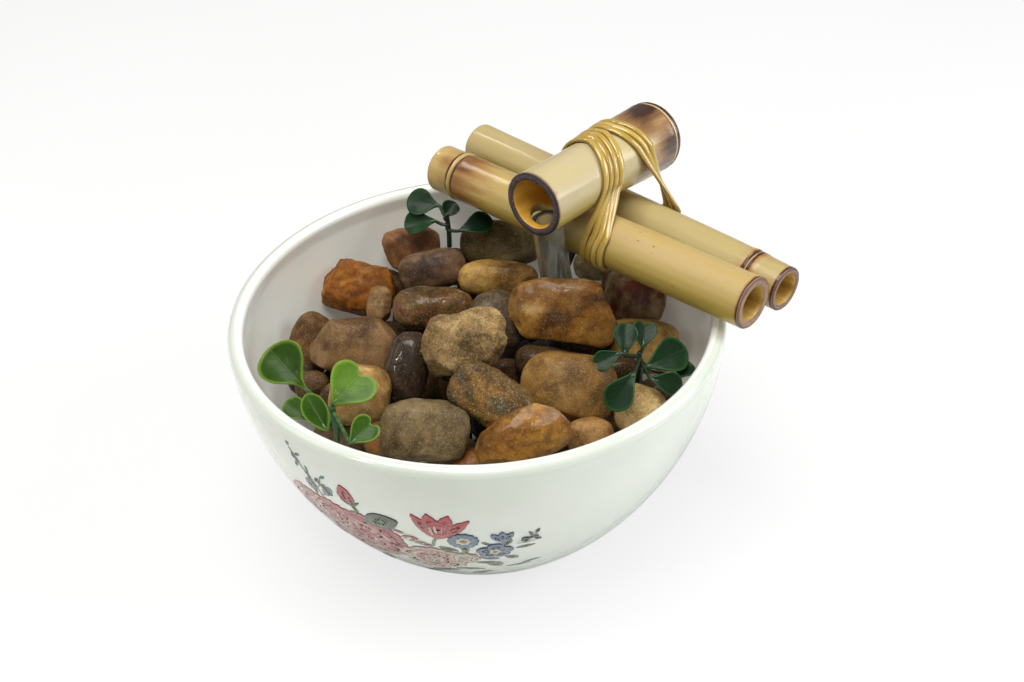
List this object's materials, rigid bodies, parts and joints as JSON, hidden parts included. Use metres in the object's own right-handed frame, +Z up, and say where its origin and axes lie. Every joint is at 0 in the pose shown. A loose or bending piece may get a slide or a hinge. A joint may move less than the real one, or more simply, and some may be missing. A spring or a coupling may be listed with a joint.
{
  "type": "tabletop fountain with submersible pump",
  "caption": "Round glazed bowl of river stones with a bamboo spout across the rim, fed through a clear riser tube by a small submersible pump under the stones.",
  "frame": {"origin": "centre of the bowl's foot, on the table", "axes": "+Z up; -Y towards the printed front of the bowl; +X to the right when the print faces the viewer; the mouth of the spout points towards -X and -Y"},
  "size_m": [0.1875, 0.2252, 0.1264],
  "materials": {
    "glazed_ceramic": "glossy off-white glaze with a floral print",
    "bamboo": "varnished bamboo, scorched nodes and cut ends",
    "cane_strand": "varnished flat cane strands",
    "clear_vinyl": "clear flexible tube",
    "pump_plastic": "moulded black plastic",
    "laminated_steel": "stack of electrical steel sheets",
    "bobbin_nylon": "natural nylon",
    "copper_wire": null,
    "epoxy": "cast epoxy",
    "ferrite": null,
    "shaft_ceramic": "ground alumina ceramic",
    "black_rubber": "soft black rubber",
    "cup_rubber": "soft grey rubber",
    "impeller_plastic": "white acetal",
    "foam": null,
    "slider_plastic": "moulded red plastic",
    "cord_vinyl": "black vinyl sheath",
    "plug_brass": "plain brass",
    "leaf_dark": "dark green moulded leaves",
    "leaf_light": "light green moulded leaves",
    "stone_ochre": "wet orange-brown stone",
    "stone_tan": "tan speckled stone",
    "stone_brown": "brown stone",
    "stone_red": "red-brown wet stone",
    "stone_grey": "grey-brown stone",
    "stone_dark": "dark wet stone"
  },
  "bodies": {
    "bowl_body": {"bowl": "glazed_ceramic", "riser_tube": "clear_vinyl", "motor_housing": "pump_plastic", "stator_core": "laminated_steel", "coil_bobbins": "bobbin_nylon", "coil_windings": "copper_wire", "potting_plug": "epoxy", "rotor_shaft": "shaft_ceramic", "shaft_bushings": "black_rubber", "chamber_cover": "pump_plastic", "chamber_seal": "black_rubber", "strainer_cover": "pump_plastic", "filter_foam": "foam", "suction_cups": "cup_rubber", "cord_grommet": "black_rubber", "power_cord": "cord_vinyl", "power_plug": "cord_vinyl", "plug_pins": "plug_brass", "sprig_back": "leaf_dark", "sprig_left": "leaf_light", "sprig_right": "leaf_dark", "stone_01": "stone_ochre", "stone_02": "stone_red", "stone_03": "stone_grey", "stone_04": "stone_tan", "stone_05": "stone_red", "stone_06": "stone_tan", "stone_07": "stone_brown", "stone_08": "stone_red", "stone_09": "stone_tan", "stone_10": "stone_dark", "stone_11": "stone_tan", "stone_12": "stone_grey", "stone_13": "stone_brown", "stone_14": "stone_ochre", "stone_15": "stone_tan", "stone_16": "stone_red", "stone_17": "stone_tan", "stone_18": "stone_ochre", "stone_19": "stone_grey", "stone_20": "stone_tan", "stone_21": "stone_dark", "stone_22": "stone_red", "stone_23": "stone_tan", "stone_24": "stone_tan", "gap_stones": "stone_brown", "bed_stones": "stone_grey"},
    "rotor": {"rotor_magnet": "ferrite", "impeller": "impeller_plastic"},
    "slider": {"flow_slider": "slider_plastic"},
    "bamboo": {"cross_pipe_front": "bamboo", "cross_pipe_rear": "bamboo", "spout_pipe": "bamboo", "lashing_front": "cane_strand", "lashing_rear": "cane_strand"}
  },
  "joints": [
    {"name": "rotor_spin", "type": "hinge", "parent": "bowl_body", "child": "rotor", "pos_m": [0.01569, 0.00999, 0.0332], "axis": [0.8434, 0.5373, 0], "continuous": true},
    {"name": "flow_slide", "type": "slide", "parent": "bowl_body", "child": "slider", "axis": [0, 0, 1], "range_m": [0, 0.007]},
    {"name": "bamboo_lift", "type": "slide", "parent": "bowl_body", "child": "bamboo", "axis": [0, 0, 1], "range_m": [0, 0.12]}
  ]
}
